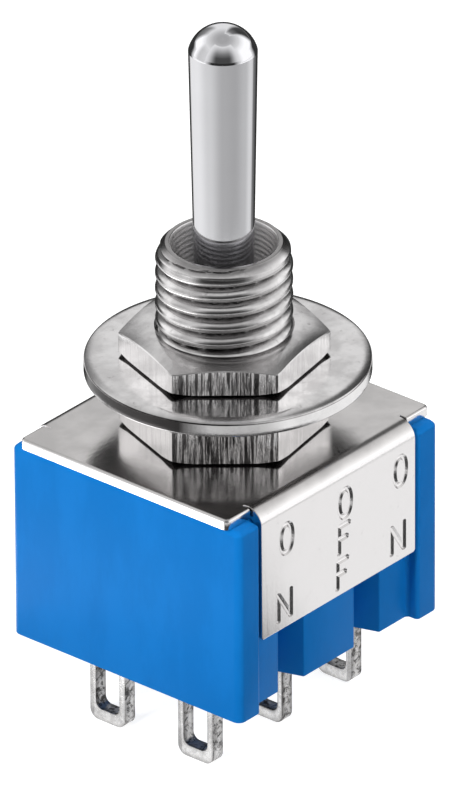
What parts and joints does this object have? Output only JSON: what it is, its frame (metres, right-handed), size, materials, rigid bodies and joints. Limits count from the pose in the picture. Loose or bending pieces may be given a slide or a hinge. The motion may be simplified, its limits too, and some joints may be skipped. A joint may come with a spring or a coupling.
{
  "type": "panel toggle switch",
  "caption": "Miniature panel toggle switch with a bat lever on a threaded bushing, lettered metal frame, blue housing and solder lugs; the lever tilts both ways from upright.",
  "frame": {"origin": "centre of the footprint at the height of the tips of the solder lugs, on the bushing's axis", "axes": "+Z along the bushing, towards the lever's tip; X is the way the lever swings; the lettered flaps face -Y and +Y"},
  "size_m": [0.0136, 0.013, 0.033],
  "materials": {
    "blue_plastic": "satin moulded",
    "plated_frame": "bright zinc plate, lightly brushed",
    "nickel_plate": "bright nickel plate",
    "lever_chrome": "mirror polished",
    "silver_terminal": "silver plated, handled",
    "inner_plastic": "natural moulded",
    "contact_silver": "silver plated",
    "spring_steel": "drawn wire"
  },
  "bodies": {
    "base": {"housing": "blue_plastic", "frame_bracket": "plated_frame", "bushing": "nickel_plate", "lower_hex_nut": "nickel_plate", "lock_washer": "spring_steel", "panel_washer": "nickel_plate", "upper_hex_nut": "nickel_plate", "terminal_left_front": "silver_terminal", "terminal_common_front": "silver_terminal", "terminal_right_front": "silver_terminal", "terminal_left_rear": "silver_terminal", "terminal_common_rear": "silver_terminal", "terminal_right_rear": "silver_terminal"},
    "lever_set": {"lever": "lever_chrome", "lever_pivot_pin": "spring_steel", "actuator": "inner_plastic", "plunger_spring_front": "spring_steel", "plunger_spring_rear": "spring_steel"},
    "rocker_front": {"rocker_contact_front": "contact_silver"},
    "rocker_rear": {"rocker_contact_rear": "contact_silver"},
    "plunger_front": {"plunger_front": "inner_plastic"},
    "plunger_rear": {"plunger_rear": "inner_plastic"}
  },
  "joints": [
    {"name": "lever_tilt", "type": "hinge", "parent": "base", "child": "lever_set", "pos_m": [0, 0, 0.0181], "axis": [0, 1, 0], "range_deg": [-10.5, 10.5]},
    {"name": "rocker_tilt_front", "type": "hinge", "parent": "base", "child": "rocker_front", "pos_m": [0, -0.0025, 0.0065], "axis": [0, 1, 0], "range_deg": [-6, 6]},
    {"name": "rocker_tilt_rear", "type": "hinge", "parent": "base", "child": "rocker_rear", "pos_m": [0, 0.0025, 0.0065], "axis": [0, 1, 0], "range_deg": [-6, 6]},
    {"name": "plunger_slide_front", "type": "slide", "parent": "lever_set", "child": "plunger_front", "axis": [0, 0, 1], "range_m": [0, 0.0003], "stiffness_N_per_m": 200, "springref_m": -0.0005, "deforming": ["plunger_spring_front"]},
    {"name": "plunger_slide_rear", "type": "slide", "parent": "lever_set", "child": "plunger_rear", "axis": [0, 0, 1], "range_m": [0, 0.0003], "stiffness_N_per_m": 200, "springref_m": -0.0005, "deforming": ["plunger_spring_rear"]}
  ],
  "couplings": [
    {"joint": "rocker_tilt_front", "follows": "lever_tilt", "ratio": -0.5714},
    {"joint": "rocker_tilt_rear", "follows": "lever_tilt", "ratio": -0.5714}
  ]
}
